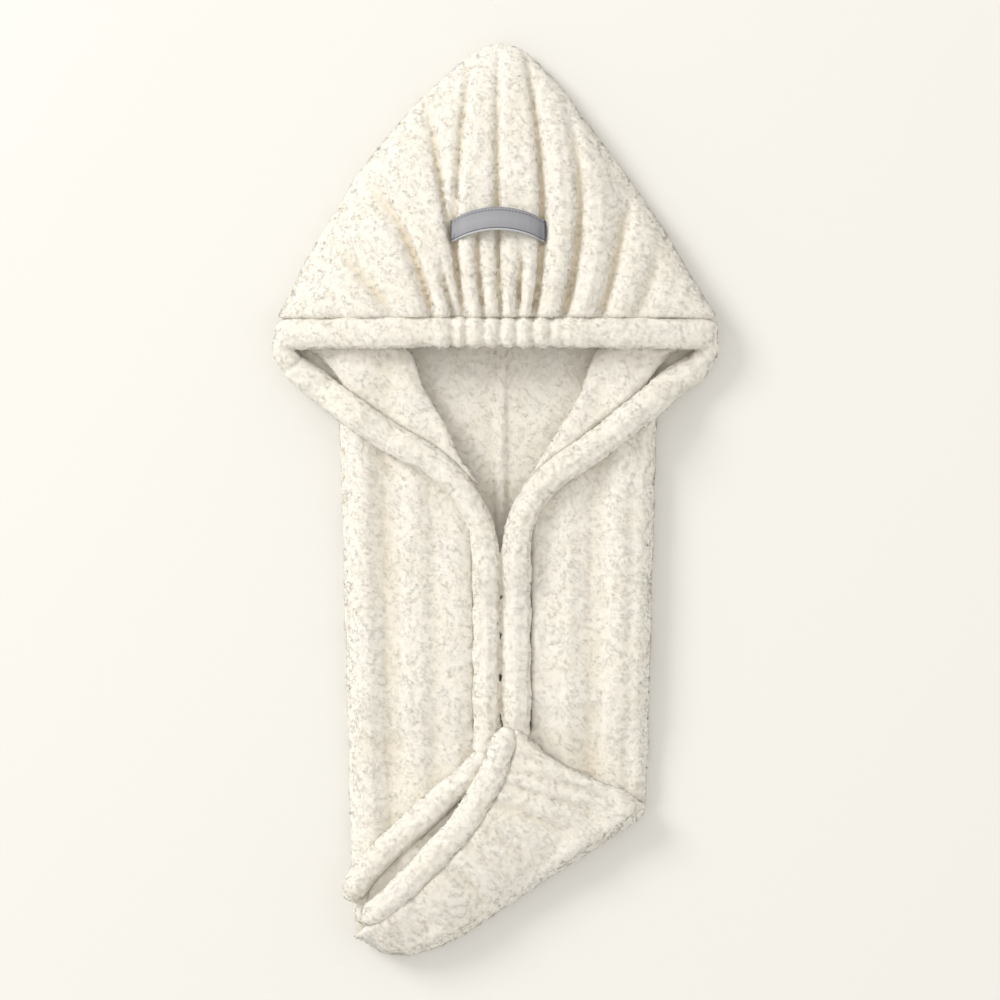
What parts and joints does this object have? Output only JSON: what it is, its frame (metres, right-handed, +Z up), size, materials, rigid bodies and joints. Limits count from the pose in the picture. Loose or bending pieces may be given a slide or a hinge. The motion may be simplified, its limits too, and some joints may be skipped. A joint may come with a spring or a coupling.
{
  "type": "hair turban towel",
  "caption": "Hooded hair-drying turban towel in plush cloth, laid flat: gathered brim, turned-out front edges, folded-up tail and a tape loop on the hood.",
  "frame": {"origin": "middle of the towel's outline seen from above, on the surface that it lies on", "axes": "+Z up from the surface, +Y toward the crown of the hood, +X toward the right side seen from above with the crown at the top"},
  "size_m": [0.2978, 0.6176, 0.0486],
  "materials": {
    "plush": "cream coral-fleece pile, about 5 mm thick, soft and matt",
    "tape": "flat woven grey tape with stitched edges"
  },
  "bodies": {
    "root": {"back_panel": "plush", "hood_front": "plush", "brim": "plush", "left_front": "plush", "right_front": "plush", "left_lapel": "plush", "right_lapel": "plush", "left_hem": "plush", "right_hem": "plush", "tail_under": "plush", "tail_panel": "plush", "tail_far_hem": "plush", "tail_near_hem": "plush", "tape_loop": "tape"}
  },
  "joints": []
}
